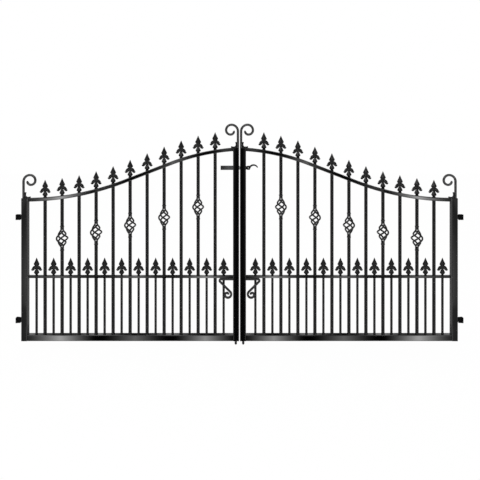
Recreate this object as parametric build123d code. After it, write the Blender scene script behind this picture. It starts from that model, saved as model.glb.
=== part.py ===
"""A pair of wrought iron driveway gates with curved top rails, spear finials and basket bars.

Lengths are millimetres. X runs along the gates from the left post, Y runs through them to the
inner side and Z is up. The origin is on the post face of the lower left hinge fixing.
"""
import math
import os

from build123d import *

os.makedirs("parts", exist_ok=True)

# Whole gate
pair_width = 2746.0             # over the two hinge stiles
meeting_gap = 5.5               # between the two meeting stiles
post_gap = 38.5                 # post face to hinge stile
hinge_stile_height = 898.0
meeting_stile_height = 1216.0

# Frame of square tube
tube = 38.0
tube_wall = 2.5
tube_corner = 4.0
stile_cap = 3.0

# Curved top rail of rectangular tube
top_rail_thick = 22.0
top_rail_depth = 30.0
top_rail_wall = 2.5
ogee_outer_share = 0.48         # of the rail's run, the hollow curve by the hinge stile
ogee_straight_share = 0.22      # of the rail's run, the straight between the two curves
ogee_end_slope = 4.25           # degrees, at the meeting stile

# Punched middle rail
middle_rail_height = 395.5      # underside, above the bottom of the gate
middle_rail_thick = 12.0
middle_rail_depth = 30.0

# Bars
bar_count = 11
bar_diameter = 21.0
bar_stub = 4.5                  # bar end above the top rail
dog_diameter = 15.0
dog_stub = 7.5                  # dog bar end above the middle rail
hole_clearance = 0.25           # around a bar in a punched hole
first_gap_less = 1.5            # the gap by the hinge stile is this much narrower
last_gap_extra = 5.8            # the gap by the meeting stile is this much wider

# Cast spear finial
finial_height = 105.5
finial_width = 37.0             # across the spear head
finial_depth_share = 0.7        # of the width, front to back
finial_level_shares = (0.0, 0.108, 0.364, 0.50, 0.622, 1.0)
finial_width_shares = (0.42, 0.90, 0.32, 0.56, 1.0, 0.05)
arm_spread = 69.6
arm_thick = 11.0
arm_reach_shares = (0.0, 0.23, 0.431, 0.603, 0.718, 0.813, 1.0, 0.905, 0.747, 0.575, 0.425, 0.31, 0.218, 0.0)
arm_level_shares = (0.479, 0.531, 0.531, 0.483, 0.417, 0.363, 0.308, 0.242, 0.209, 0.204, 0.223, 0.261,
                    0.308, 0.322)

# Twisted basket
basket_height = 158.0           # between the two bar ends
basket_width = 76.5             # over the wires
basket_level_shares = (0.709, 0.7177, 0.7117, 0.7015, 0.716)    # of the clear bar above the bottom rail
basket_turn = 390.0             # degrees from end to end
basket_faces = (21.0, 17.0, 13.0, 9.0, 5.0)     # degrees each cage is set round on its bar
basket_swell = 3.0              # power of the cosine that shapes the cage
wire_diameter = 10.5
wire_count = 4
wire_end_gap = 0.5              # between neighbouring wires in the collar
wire_points = 25
collar_diameter = 26.0
collar_height = 8.0

# Scrolls of round bar on the stile tops
scroll_bar = 15.0
scroll_upright = 104.2
scroll_radii = (40.5, 34.0, 28.0, 22.0)
scroll_turns = (90.0, 90.0, 90.0, 100.0)

# Cast corner brackets beside the scrolls
corner_leg = 36.0
corner_thick = 11.0
corner_tip_share = 0.95         # along the leg
corner_lip_share = 0.27         # tip height, of the leg
corner_hollow_share = 0.28      # depth of the hollow from the corner, of the leg
corner_seat = 4.0               # below the stile top, trimmed to the rail

# Scroll bracket under the middle rail
bracket_bar = 13.5
bracket_depth = 10.5
bracket_run = 75.5
bracket_bend = 9.0
bracket_bend_turn = 135.0
bracket_brace = 91.0
bracket_radii = (21.5, 18.0, 12.0, 10.0)
bracket_turns = (135.0, 90.0, 90.0, 100.0)

# Hinges
lower_hinge_height = 127.0      # above the bottom of the gate
upper_hinge_height = 777.0
hinge_axis = 22.5               # post face to the pin's axis
fixing_height = 34.0
fixing_plate = 11.5
fixing_plate_depth = 21.0
fixing_ear = 6.0
fixing_ear_depth = 16.0
fixing_ear_nose = 7.5           # beyond the axis
fixing_ear_taper = 4.0
pin_diameter = 10.0
pin_clearance = 0.05
eye_diameter = 18.0
eye_end_gap = 0.3
eye_neck_diameter = 13.0

# Drop bolts
bolt_diameter = 15.0
bolt_inset = 21.0               # rod axis from the meeting face of the stile
bolt_stand_off = 12.5           # rod axis behind the stile
bolt_length = 420.0
bolt_drop = 43.0                # tip below the gate when dropped
bolt_handle = 64.0              # rod axis to the handle's end
bolt_bend = 20.0
bolt_round_share = 0.85         # of the rod's radius, at both ends
collar_ring_diameter = 22.0
collar_ring_height = 12.0
guide_width = 28.0
guide_depth = 24.0
guide_height = 16.0
guide_clearance = 0.5
lower_guide_height = 60.0       # underside, above the bottom of the gate
upper_guide_height = 300.0
seat_gap = 0.3

# Sliding latch
latch_below_top = 129.0         # centre, below the meeting stile's top
sleeve_height = 27.0
sleeve_depth = 14.0
sleeve_wall = 2.5
keeper_length = 120.0
keeper_end = 3.0                # closed end
guide_sleeve_length = 14.0
guide_sleeve_inset = 4.0        # from the meeting face of the stile
latch_split = 0.8               # between bolt and keeper when drawn back
tongue_clearance = 0.5
tongue_length = 46.0
latch_ring_height = 26.0
latch_ring_width = 21.0
latch_ring_hole = 7.0
latch_tail_bar = 13.0
latch_tail_start = -3.5         # above the latch centre
latch_tail_seat = 5.0           # run into the ring's edge
latch_tail_slope = 75.0         # degrees, where it leaves the ring
latch_tail_radius = 28.4
latch_tail_turn = 142.0

# Derived places
leaf_width = (pair_width - meeting_gap) / 2
gate_bottom = -lower_hinge_height
hinge_outer = post_gap
hinge_inner = hinge_outer + tube
meeting_outer = hinge_outer + leaf_width
meeting_inner = meeting_outer - tube
gate_centre = meeting_outer + meeting_gap / 2
half_tube = tube / 2
rail_top = gate_bottom + tube
clear_width = meeting_inner - hinge_inner
bar_pitch = (clear_width + first_gap_less - last_gap_extra) / (bar_count + 1)
first_place = hinge_inner - first_gap_less
bar_places = [first_place + bar_pitch * (i + 1) for i in range(bar_count)]
dog_places = [first_place + bar_pitch * (i + 0.5) for i in range(bar_count + 1)]
middle_under = gate_bottom + middle_rail_height
middle_over = middle_under + middle_rail_thick
hinge_top = gate_bottom + hinge_stile_height
meeting_top = gate_bottom + meeting_stile_height
latch_level = meeting_top - latch_below_top
mirror_plane = Plane(origin=(gate_centre, 0, 0), x_dir=(0, 1, 0), z_dir=(1, 0, 0))


def point(x, z, y=0.0):
    return Vector(x, y, z)


def heading(angle):
    """Unit direction and left-hand normal in the X-Z plane, for an angle in degrees."""
    a = math.radians(angle)
    return (math.cos(a), math.sin(a)), (-math.sin(a), math.cos(a))


def stops(x, z, angle, size, turn):
    """Places and angles along one move: (length, 0) is a straight, (radius, turn) a bend, left positive."""
    direction, normal = heading(angle)
    if turn == 0:
        return [(x + size * t * direction[0], z + size * t * direction[1], angle) for t in (0, 1)]
    side = math.copysign(1, turn)
    cx, cz = x + side * size * normal[0], z + side * size * normal[1]
    places = []
    for t in (0, 0.5, 1):
        n = heading(angle + turn * t)[1]
        places.append((cx - side * size * n[0], cz - side * size * n[1], angle + turn * t))
    return places


def edge(places):
    return Edge.make_line(*places) if len(places) == 2 else Edge.make_three_point_arc(*places)


def strip(x, z, angle, moves, thick, depth, y):
    """A bar of rectangular section along straights and bends in the X-Z plane."""
    left, right = [], []
    half = thick / 2
    for size, turn in moves:
        places = stops(x, z, angle, size, turn)
        for offset, edges in ((half, left), (-half, right)):
            normals = [heading(pa)[1] for _, _, pa in places]
            edges.append(edge([point(px + offset * n[0], pz + offset * n[1], y)
                               for (px, pz, _), n in zip(places, normals)]))
        x, z, angle = places[-1]
    start = Edge.make_line(right[0] @ 0, left[0] @ 0)
    end = Edge.make_line(left[-1] @ 1, right[-1] @ 1)
    outline = Wire([start] + left + [end] + right)
    return extrude(Face(outline), amount=depth, dir=(0, 1, 0))


def bent_rod(x, z, angle, moves, diameter):
    """A round bar along straights and bends in the X-Z plane."""
    direction = heading(angle)[0]
    section = Plane(origin=point(x, z), z_dir=point(*direction)) * Circle(diameter / 2)
    edges = []
    for size, turn in moves:
        places = stops(x, z, angle, size, turn)
        edges.append(edge([point(px, pz) for px, pz, _ in places]))
        x, z, angle = places[-1]
    return sweep(section, path=Wire(edges))


def block(x0, x1, y0, y1, z0, z1):
    return Pos((x0 + x1) / 2, (y0 + y1) / 2, (z0 + z1) / 2) * Box(x1 - x0, y1 - y0, z1 - z0)


def rod(x, y, z0, z1, diameter):
    return Pos(x, y, (z0 + z1) / 2) * Cylinder(diameter / 2, z1 - z0)


def square_tube():
    inner = tube - 2 * tube_wall
    outline = RectangleRounded(tube, tube, tube_corner)
    return outline - RectangleRounded(inner, inner, tube_corner - tube_wall)


def stile(x, top):
    """Square tube from the bottom of the gate, closed by a cap at the top."""
    walls = extrude(square_tube(), amount=top - gate_bottom - stile_cap)
    cap = Pos(0, 0, top - gate_bottom - stile_cap) * extrude(
        RectangleRounded(tube, tube, tube_corner), amount=stile_cap)
    return Pos(x, 0, gate_bottom) * (walls + cap)


def ogee():
    """Slope angle and moves of the top rail's centre line, from the hinge stile's middle."""
    run = meeting_inner - (hinge_outer + half_tube)
    rise = meeting_top - hinge_top - half_rail_end()
    outer, straight = ogee_outer_share * run, ogee_straight_share * run
    inner = run - outer - straight
    end = math.radians(ogee_end_slope)
    low, high = end, math.pi / 3
    while high - low > 1e-9:
        a = (low + high) / 2
        height = outer * math.tan(a / 2) + straight * math.tan(a) + inner * math.tan((a + end) / 2)
        low, high = (a, high) if height < rise else (low, a)
    slope = math.degrees(a)
    return slope, ((outer / math.sin(a), slope), (straight / math.cos(a), 0),
                   (inner / (math.sin(a) - math.sin(end)), ogee_end_slope - slope))


def half_rail_end():
    """How much further the sloping rail's top lies above its centre line at the meeting stile."""
    return top_rail_thick / 2 / math.cos(math.radians(ogee_end_slope)) - top_rail_thick / 2


def rail_centre(x):
    """Height of the top rail's centre line and its slope at a place along the gate."""
    slope, ((r1, _), (length, _), (r2, _)) = ogee()
    a = math.radians(slope)
    u = x - (hinge_outer + half_tube)
    base = hinge_top - top_rail_thick / 2
    x1, z1 = r1 * math.sin(a), r1 * (1 - math.cos(a))
    x2, z2 = x1 + length * math.cos(a), z1 + length * math.sin(a)
    if u <= x1:
        b = math.asin(u / r1)
        return base + r1 * (1 - math.cos(b)), b
    if u <= x2:
        return base + z1 + (u - x1) * math.tan(a), a
    b = math.asin(math.sin(a) - (u - x2) / r2)
    return base + z2 + r2 * (math.cos(b) - math.cos(a)), b


def rail_over(x):
    z, slope = rail_centre(x)
    return z + top_rail_thick / 2 / math.cos(slope)


def rail_under(x):
    z, slope = rail_centre(x)
    return z - top_rail_thick / 2 / math.cos(slope)


def rail_strip(thick, depth):
    """A bar along the rail's centre line, running on into both stiles."""
    start = hinge_outer + half_tube
    moves = ogee()[1] + ((half_tube, 0),)
    return strip(start, hinge_top - top_rail_thick / 2, 0, moves, thick, depth, -depth / 2)


def stile_blocks():
    """The room of both stiles, which trims what butts on them."""
    return block(hinge_outer, hinge_inner, -tube, tube, gate_bottom, hinge_top) + block(
        meeting_inner, meeting_outer, -tube, tube, gate_bottom, meeting_top + tube)


def top_rail_outside():
    return rail_strip(top_rail_thick, top_rail_depth) - stile_blocks()


def top_rail():
    """Rectangular tube bent to the double curve, punched for the bars."""
    wall = 2 * top_rail_wall
    rail = top_rail_outside() - rail_strip(top_rail_thick - wall, top_rail_depth - wall)
    punch = bar_diameter + 2 * hole_clearance
    for x in bar_places:
        z = rail_centre(x)[0]
        rail -= rod(x, 0, z - 2 * top_rail_thick, z + 2 * top_rail_thick, punch)
    return rail


def bottom_rail():
    profile = Plane(origin=(hinge_inner, 0, gate_bottom + half_tube), x_dir=(0, 1, 0), z_dir=(1, 0, 0))
    return extrude(profile * square_tube(), amount=clear_width)


def middle_rail():
    """Flat bar punched for the full bars and the dog bars."""
    rail = block(hinge_inner, meeting_inner, -middle_rail_depth / 2, middle_rail_depth / 2,
                 middle_under, middle_over)
    for places, diameter in ((bar_places, bar_diameter), (dog_places, dog_diameter)):
        for x in places:
            rail -= rod(x, 0, middle_under - middle_rail_thick, middle_over + middle_rail_thick,
                        diameter + 2 * hole_clearance)
    return rail


def basket_level(i):
    """Height of the basket on full bar number i, which is odd."""
    return rail_top + basket_level_shares[i // 2] * (rail_under(bar_places[i]) - rail_top)


def bars():
    """Full bars: plain ones, and those cut for a basket."""
    plain, cut = [], []
    for i, x in enumerate(bar_places):
        top = rail_over(x) + bar_stub
        if i % 2:
            z = basket_level(i)
            cut.append(rod(x, 0, rail_top, z - basket_height / 2, bar_diameter))
            cut.append(rod(x, 0, z + basket_height / 2, top, bar_diameter))
        else:
            plain.append(rod(x, 0, rail_top, top, bar_diameter))
    return plain, cut


def basket(hand):
    """Four round wires swelling and turning between two collars, about the origin; hand 1 or -1."""
    half = basket_height / 2 - collar_height / 2
    wide = (basket_width - wire_diameter) / 2
    narrow = (wire_diameter + wire_end_gap) / math.sqrt(2)
    whole = None
    for end in (-1, 1):
        collar = Pos(0, 0, end * half) * Cylinder(collar_diameter / 2, collar_height)
        whole = collar if whole is None else whole + collar
    for k in range(wire_count):
        places = []
        for i in range(wire_points):
            t = 2 * i / (wire_points - 1) - 1
            r = narrow + (wide - narrow) * max(math.cos(math.pi * t / 2), 0) ** basket_swell
            a = math.radians(360 * k / wire_count - hand * basket_turn / 2 * t)
            places.append((r * math.sin(a), -r * math.cos(a), half * t))
        path = Spline(*places)
        section = Plane(origin=path @ 0, z_dir=path % 0) * Circle(wire_diameter / 2)
        whole += sweep(section, path=path)
    return whole


def baskets(centre, hand):
    """The cages of one leaf, whose full bars lie to the given hand of the place centre."""
    cage, placed = basket(hand), []
    for i in range(1, bar_count, 2):
        at = Pos(centre + hand * bar_places[i], 0, basket_level(i))
        placed.append(at * Rot(0, 0, hand * basket_faces[i // 2]) * cage)
    return placed


def finial():
    """Spear head, two drooping arms and a lower bulb, standing on the origin."""
    body = None
    sections = []
    for level, width in zip(finial_level_shares, finial_width_shares):
        w = width * finial_width / 2
        d = w * finial_depth_share
        z = level * finial_height
        sections.append(Face(Wire.make_polygon([(w, 0, z), (0, d, z), (-w, 0, z), (0, -d, z)])))
    for low, high in zip(sections[:-1], sections[1:]):
        piece = loft([low, high], ruled=True)
        body = piece if body is None else body + piece
    outline = [(arm_spread / 2 * x, z * finial_height)
               for x, z in zip(arm_reach_shares, arm_level_shares)]
    outline += [(-x, z) for x, z in outline[-2:0:-1]]
    arms = Face(Wire.make_polygon([(x, -arm_thick / 2, z) for x, z in outline]))
    return body + extrude(arms, amount=arm_thick, dir=(0, 1, 0))


def scroll(x, z, side):
    """Upright round bar that curls inward over the leaf; side is +1 when it curls to the right."""
    moves = [(scroll_upright, 0)] + [(r, -side * t) for r, t in zip(scroll_radii, scroll_turns)]
    return bent_rod(x, z, 90, moves, scroll_bar)


def corner(x, z, side):
    """Cast bracket with a hollowed edge in the corner of scroll and rail."""
    leg = corner_leg
    tip, lip, hollow = corner_tip_share * leg, corner_lip_share * leg, corner_hollow_share * leg
    spots = [(0, -corner_seat), (leg, -corner_seat), (leg, 0), (tip, lip), (lip, tip), (0, leg)]
    ends = [point(x + side * a, z + b, -corner_thick / 2) for a, b in spots]
    middle = point(x + side * hollow, z + hollow, -corner_thick / 2)
    edges = [Edge.make_line(ends[i], ends[i + 1]) for i in range(3)]
    edges.append(Edge.make_three_point_arc(ends[3], middle, ends[4]))
    edges += [Edge.make_line(ends[4], ends[5]), Edge.make_line(ends[5], ends[0])]
    return extrude(Face(Wire(edges)), amount=corner_thick, dir=(0, 1, 0))


def corner_brackets():
    """Both brackets of a leaf, trimmed to sit on the stile tops and the rail."""
    seat = top_rail_outside() + block(hinge_outer, hinge_inner, -tube, tube, gate_bottom, hinge_top)
    seat += block(meeting_inner, meeting_outer, -tube, tube, gate_bottom, meeting_top)
    return [corner(hinge_outer + scroll_bar, hinge_top, 1) - seat,
            corner(meeting_outer - scroll_bar, meeting_top, -1) - seat]


def rail_bracket():
    """Flat bar bent under the middle rail, braced back and curled beside the meeting stile."""
    moves = [(bracket_run, 0), (bracket_bend, bracket_bend_turn), (bracket_brace, 0)]
    moves += [(r, -t) for r, t in zip(bracket_radii, bracket_turns)]
    return strip(meeting_inner, middle_under - bracket_bar / 2, 180, moves,
                 bracket_bar, bracket_depth, -half_tube)


def hinge_fixing(z):
    """Post plate with two ears and a fixed pin."""
    half = fixing_height / 2
    inside = half - fixing_ear
    body = block(0, fixing_plate, -fixing_plate_depth / 2, fixing_plate_depth / 2, z - half, z + half)
    nose = hinge_axis + fixing_ear_nose
    for side in (-1, 1):
        spots = [(0, inside), (nose, inside), (nose, half - fixing_ear_taper),
                 (nose - fixing_ear_nose, half), (0, half)]
        outline = Wire.make_polygon([point(a, z + side * b, -fixing_ear_depth / 2) for a, b in spots])
        body += extrude(Face(outline), amount=fixing_ear_depth, dir=(0, 1, 0))
    return body + rod(hinge_axis, 0, z - half, z + half, pin_diameter)


def hinge_eye(z):
    """Barrel on the pin with a tapering neck welded to the stile."""
    half = fixing_height / 2 - fixing_ear - eye_end_gap
    reach = hinge_outer - hinge_axis
    neck = Plane(origin=(hinge_axis, 0, z), x_dir=(0, 1, 0), z_dir=(1, 0, 0))
    eye = rod(hinge_axis, 0, z - half, z + half, eye_diameter)
    eye += neck * Cone(eye_diameter / 2, eye_neck_diameter / 2, reach,
                       align=(Align.CENTER, Align.CENTER, Align.MIN))
    return eye - rod(hinge_axis, 0, z - fixing_height, z + fixing_height, pin_diameter + 2 * pin_clearance)


bolt_x = meeting_outer - bolt_inset
bolt_y = half_tube + bolt_stand_off


def bolt_guide(z):
    guide = block(bolt_x - guide_width / 2, bolt_x + guide_width / 2, half_tube, half_tube + guide_depth,
                  z, z + guide_height)
    return guide - rod(bolt_x, bolt_y, z - guide_height, z + 2 * guide_height,
                       bolt_diameter + 2 * guide_clearance)


def drop_bolt():
    """Round rod with a rounded tip, a stop collar and a handle bent to the back."""
    tip = gate_bottom - bolt_drop
    top = tip + bolt_length
    turn = top - bolt_bend
    middle = bolt_bend * math.cos(math.pi / 4)
    path = Wire([
        Edge.make_line((bolt_x, bolt_y, tip), (bolt_x, bolt_y, turn)),
        Edge.make_three_point_arc((bolt_x, bolt_y, turn),
                                  (bolt_x, bolt_y + bolt_bend - middle, turn + middle),
                                  (bolt_x, bolt_y + bolt_bend, top)),
        Edge.make_line((bolt_x, bolt_y + bolt_bend, top), (bolt_x, bolt_y + bolt_handle, top))])
    section = Plane(origin=(bolt_x, bolt_y, tip), z_dir=(0, 0, 1)) * Circle(bolt_diameter / 2)
    body = sweep(section, path=path)
    ends = body.edges().sort_by(Axis.Z)[0], body.edges().sort_by(Axis.Y)[-1]
    body = fillet(ends, bolt_round_share * bolt_diameter / 2)
    ring = gate_bottom + lower_guide_height + guide_height + seat_gap
    return body + rod(bolt_x, bolt_y, ring, ring + collar_ring_height, collar_ring_diameter)


def sleeve(x0, x1):
    """Rectangular sleeve on the back of a meeting stile, open at both ends."""
    half = sleeve_height / 2
    outer = block(x0, x1, half_tube, half_tube + sleeve_depth, latch_level - half, latch_level + half)
    return outer - block(x0 - sleeve_wall, x1 + sleeve_wall, half_tube + sleeve_wall,
                         half_tube + sleeve_depth - sleeve_wall,
                         latch_level - half + sleeve_wall, latch_level + half - sleeve_wall)


def latch_keeper():
    """Long sleeve with a closed far end that takes the latch bolt."""
    end = gate_centre - latch_split / 2
    start = end - keeper_length
    half = sleeve_height / 2
    return sleeve(start, end) + block(start, start + keeper_end, half_tube, half_tube + sleeve_depth,
                                      latch_level - half, latch_level + half)


def latch_guide():
    start = gate_centre + meeting_gap / 2 + guide_sleeve_inset
    return sleeve(start, start + guide_sleeve_length)


def latch_bolt():
    """Flat bolt, a ring to draw it by and a curled tail."""
    tip = gate_centre + latch_split / 2
    half = sleeve_height / 2 - sleeve_wall - tongue_clearance
    y0 = half_tube + sleeve_wall + tongue_clearance
    y1 = half_tube + sleeve_depth - sleeve_wall - tongue_clearance
    body = block(tip, tip + tongue_length, y0, y1, latch_level - half, latch_level + half)
    ring = tip + tongue_length
    body += block(ring, ring + latch_ring_width, y0, y1, latch_level - latch_ring_height / 2,
                  latch_level + latch_ring_height / 2)
    tail = strip(ring + latch_ring_width - latch_tail_seat, latch_level + latch_tail_start,
                 latch_tail_slope, [(latch_tail_radius, -latch_tail_turn)], latch_tail_bar, y1 - y0, y0)
    hole = Plane(origin=(ring + latch_ring_width / 2, y0 - sleeve_depth, latch_level), x_dir=(1, 0, 0),
                 z_dir=(0, 1, 0))
    return body + tail - hole * Cylinder(latch_ring_hole / 2, 3 * sleeve_depth,
                                         align=(Align.CENTER, Align.CENTER, Align.MIN))


def solids(shape):
    """All the solids of a shape or a list of shapes."""
    if isinstance(shape, (list, tuple)):
        return [s for item in shape for s in solids(item)]
    return list(shape.solids())


def save(node, shape):
    pieces = solids(shape)
    export_step(pieces[0] if len(pieces) == 1 else Compound(children=pieces), f"parts/{node}.step")


def save_pair(node, shape):
    """A piece of the left leaf and its mirror image on the right leaf."""
    pieces = solids(shape)
    save(f"left_{node}", pieces)
    save(f"right_{node}", [mirror(s, about=mirror_plane) for s in pieces])


plain_bars, basket_bars = bars()
one_finial = finial()
hinge_levels = (0.0, upper_hinge_height - lower_hinge_height)

save_pair("hinge_fixings", [hinge_fixing(z) for z in hinge_levels])
save_pair("hinge_eyes", [hinge_eye(z) for z in hinge_levels])
save_pair("hinge_stile", stile(hinge_outer + half_tube, hinge_top))
save_pair("meeting_stile", stile(meeting_outer - half_tube, meeting_top))
save_pair("bottom_rail", bottom_rail())
save_pair("middle_rail", middle_rail())
save_pair("top_rail", top_rail())
save_pair("plain_bars", plain_bars)
save_pair("basket_bars", basket_bars)
save("left_baskets", solids(baskets(0.0, 1)))
save("right_baskets", solids(baskets(2 * gate_centre, -1)))
save_pair("bar_finials", [Pos(x, 0, rail_over(x) + bar_stub) * one_finial for x in bar_places])
save_pair("dog_bars", [rod(x, 0, rail_top, middle_over + dog_stub, dog_diameter) for x in dog_places])
save_pair("dog_finials", [Pos(x, 0, middle_over + dog_stub) * one_finial for x in dog_places])
save_pair("hinge_scroll", scroll(hinge_outer + scroll_bar / 2, hinge_top, 1))
save_pair("meeting_scroll", scroll(meeting_outer - scroll_bar / 2, meeting_top, -1))
save_pair("corner_brackets", corner_brackets())
save_pair("rail_bracket", rail_bracket())
save_pair("bolt_guides", [bolt_guide(gate_bottom + h) for h in (lower_guide_height, upper_guide_height)])
save_pair("drop_bolt", drop_bolt())
save("left_latch_keeper", latch_keeper())
save("right_latch_guide", latch_guide())
save("latch_bolt", latch_bolt())
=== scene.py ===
import math

import bpy
import numpy as np
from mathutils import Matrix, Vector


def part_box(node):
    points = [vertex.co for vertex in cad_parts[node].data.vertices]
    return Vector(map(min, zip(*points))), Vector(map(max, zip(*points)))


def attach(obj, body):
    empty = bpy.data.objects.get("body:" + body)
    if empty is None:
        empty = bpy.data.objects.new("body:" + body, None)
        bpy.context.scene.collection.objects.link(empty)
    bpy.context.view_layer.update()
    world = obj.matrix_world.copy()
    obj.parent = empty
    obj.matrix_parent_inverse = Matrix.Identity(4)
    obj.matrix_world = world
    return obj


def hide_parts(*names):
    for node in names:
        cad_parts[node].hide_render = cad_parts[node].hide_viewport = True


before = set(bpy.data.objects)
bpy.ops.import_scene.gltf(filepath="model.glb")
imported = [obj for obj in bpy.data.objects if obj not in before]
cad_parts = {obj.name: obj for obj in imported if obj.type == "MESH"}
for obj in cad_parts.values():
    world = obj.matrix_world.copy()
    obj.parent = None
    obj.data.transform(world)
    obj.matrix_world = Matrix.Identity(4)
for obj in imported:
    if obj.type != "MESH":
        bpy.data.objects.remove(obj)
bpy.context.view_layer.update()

# Stiles: upright square steel tubes at both ends of each leaf, closed by a welded cap at the top
# and open at the foot. The tube is seamed mild steel with rounded corners, sprayed with gloss
# black powder that bakes to a faint orange peel.
TUBE_WALL, TUBE_CORNER = 0.0025, 0.004
CAP_THICK, CAP_DRAW, CAP_ROUND = 0.003, 0.002, 0.0012
EDGE_DRAW, EDGE_RISE = 0.0007, 0.0004


def node_corners(node):
    """Lowest and highest corner of a node of the frame, to a hundredth of a millimetre."""
    return [np.round(np.array(corner, float), 5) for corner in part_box(node)]


hinge_low, hinge_high = node_corners("left_hinge_stile")
meeting_low, meeting_high = node_corners("left_meeting_stile")
GATE_CENTRE = (hinge_low[0] + node_corners("right_hinge_stile")[1][0]) / 2
GATE_FOOT, HINGE_TOP, MEETING_TOP = hinge_low[2], hinge_high[2], meeting_high[2]
TUBE = hinge_high[0] - hinge_low[0]
HINGE_STILE_X = (hinge_low[0] + hinge_high[0]) / 2
MEETING_STILE_X = (meeting_low[0] + meeting_high[0]) / 2


class Tone:
    """A value, colour or vector inside a node tree; arithmetic on it adds Math nodes."""

    def __init__(self, tree, socket=None):
        self.tree, self.socket = tree, socket

    def add(self, kind, settings=None, inputs=None, output=0):
        """Adds one node: its settings first, then its sockets as links or constants."""
        node = self.tree.nodes.new(kind)
        for key, value in (settings or {}).items():
            setattr(node, key, value)
        for key, value in (inputs or {}).items():
            if isinstance(value, Tone):
                self.tree.links.new(value.socket, node.inputs[key])
            else:
                node.inputs[key].default_value = value
        return Tone(self.tree, node.outputs[output] if len(node.outputs) else None)

    def sum(self, operation, a, b=0.0):
        """One Math node on a and b."""
        return self.add("ShaderNodeMath", {"operation": operation}, {0: a, 1: b})

    def __add__(self, other):
        return self.sum("ADD", self, other)

    def __radd__(self, other):
        return self.sum("ADD", other, self)

    def __sub__(self, other):
        return self.sum("SUBTRACT", self, other)

    def __rsub__(self, other):
        return self.sum("SUBTRACT", other, self)

    def __mul__(self, other):
        return self.sum("MULTIPLY", self, other)

    def __rmul__(self, other):
        return self.sum("MULTIPLY", other, self)

    def __pow__(self, other):
        return self.sum("POWER", self, other)

    def ramp(self, low, high, bottom=0.0, top=1.0):
        """Straight line from bottom at low to top at high, held level outside."""
        return self.add("ShaderNodeMapRange", {"clamp": True},
                        {"Value": self, "From Min": low, "From Max": high,
                         "To Min": bottom, "To Max": top})

    def mix(self, first, second):
        """Colour from first to second as this value goes from 0 to 1."""
        return self.add("ShaderNodeMix", {"data_type": "RGBA"},
                        {"Factor": self, 6: first, 7: second}, 2)


# Grey of a painted reflection: a lighter band painted into a coat's colour where a light surround would show
# in its gloss.
PAINTED_REFLECTION_GREY = (0.16, 0.16, 0.165, 1.0)
DRIFT_SIZE, GRAIN_SIZE, HAZE_SIZE, PIT_SIZE, PEEL_HEIGHT = 0.11, 0.006, 0.018, 0.0021, 0.0001


def coat(name, shade, gloss, peel, grain=(1.0, 1.0, 1.0), pits=0.0, sheen=0.5, relief=0.05, reflection_span=None):
    """Baked black powder coat: slow drift of tone and gloss, orange peel of the given size in
    metres, drawn grain stretched along an axis by the factors in grain, sand-cast pits where asked
    for, and, where a span along x is given, a painted reflection that lightens the coat to grey across it."""
    material = bpy.data.materials.new(name)
    material.use_nodes = True
    material.node_tree.nodes.clear()
    tree = Tone(material.node_tree)
    place = tree.add("ShaderNodeTexCoord", output=3)

    def noise(size, detail, stretch=(1.0, 1.0, 1.0)):
        """Noise whose lumps are about size across, over the place scaled by stretch."""
        at = tree.add("ShaderNodeVectorMath", {"operation": "MULTIPLY"}, {0: place, 1: stretch})
        return tree.add("ShaderNodeTexNoise", inputs={
            "Vector": at, "Scale": 1 / size, "Detail": detail, "Roughness": 0.55})

    drift = noise(DRIFT_SIZE, 3.0).ramp(0.32, 0.68)
    drawn = noise(GRAIN_SIZE, 2.0, grain)
    haze = noise(HAZE_SIZE, 4.0).ramp(0.35, 0.75)
    fine_peel, broad_peel = noise(peel, 1.0), noise(peel * 3.4, 1.0)
    height = fine_peel * 0.6 + drawn * 0.25 + broad_peel * 0.35
    if pits:
        hollows = tree.add("ShaderNodeTexVoronoi", inputs={"Vector": place, "Scale": 1 / PIT_SIZE})
        height = height - (1.0 - hollows.ramp(0.0, 0.45)) * pits
    bump = tree.add("ShaderNodeBump", inputs={
        "Strength": relief, "Distance": PEEL_HEIGHT, "Height": height})
    dark = tuple(c * 0.7 for c in shade) + (1.0,)
    light = tuple(c * 1.5 for c in shade) + (1.0,)
    colour = (drift * 0.7 + drawn * 0.3).mix(dark, light)
    # Painted reflection: the colour is mixed towards grey along x, in place of a light surround seen in the
    # gloss.
    if reflection_span:
        along = tree.add("ShaderNodeSeparateXYZ", inputs={0: place})
        painted_reflection = along.ramp(*reflection_span) * haze.ramp(0.0, 1.0, 0.75, 1.0)
        colour = painted_reflection.mix(colour, PAINTED_REFLECTION_GREY)
    surface = tree.add("ShaderNodeBsdfPrincipled", inputs={
        "Base Color": colour, "Roughness": (haze * 0.35 + drift * 0.25 + 0.9) * gloss,
        "IOR": 1.5, "Specular IOR Level": sheen, "Normal": bump})
    tree.add("ShaderNodeOutputMaterial", inputs={"Surface": surface})
    return material


def rounded(width, depth, corner, steps=6):
    """Rounded rectangle about zero, anticlockwise: four quarter circles of radius corner, each
    with one more point a little way along both flats, which keeps the flats' shading flat."""
    t = np.linspace(0, np.pi / 2, steps)
    along = 0.1 * corner
    u = np.concatenate([[corner], corner * np.cos(t), [-along]])
    v = np.concatenate([[-along], corner * np.sin(t), [corner]])
    sides = np.arange(4)[:, None]
    turn_u, turn_v = np.cos(sides * np.pi / 2), np.sin(sides * np.pi / 2)
    x = turn_u * u - turn_v * v + np.array([1, -1, -1, 1])[:, None] * (width / 2 - corner)
    y = turn_v * u + turn_u * v + np.array([1, 1, -1, -1])[:, None] * (depth / 2 - corner)
    return np.stack([x.ravel(), y.ravel()], 1)


def turned_out(grid, closed):
    """The grid with its rows reversed where the volume inside it would come out negative."""
    rows = np.concatenate([grid, grid[:1]]) if closed else grid
    a, b = rows[:-1], rows[1:]
    c, d = np.roll(b, -1, 1), np.roll(a, -1, 1)
    volume = (np.cross(d - a, c - a) * a).sum() + (np.cross(c - a, b - a) * a).sum()
    if not closed:
        for end, sign in ((grid[0], -1), (grid[-1], 1)):
            volume += sign * (np.cross(end, np.roll(end, -1, 0)) * end[:1]).sum()
    return grid if volume >= 0 else grid[:, ::-1]


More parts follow.
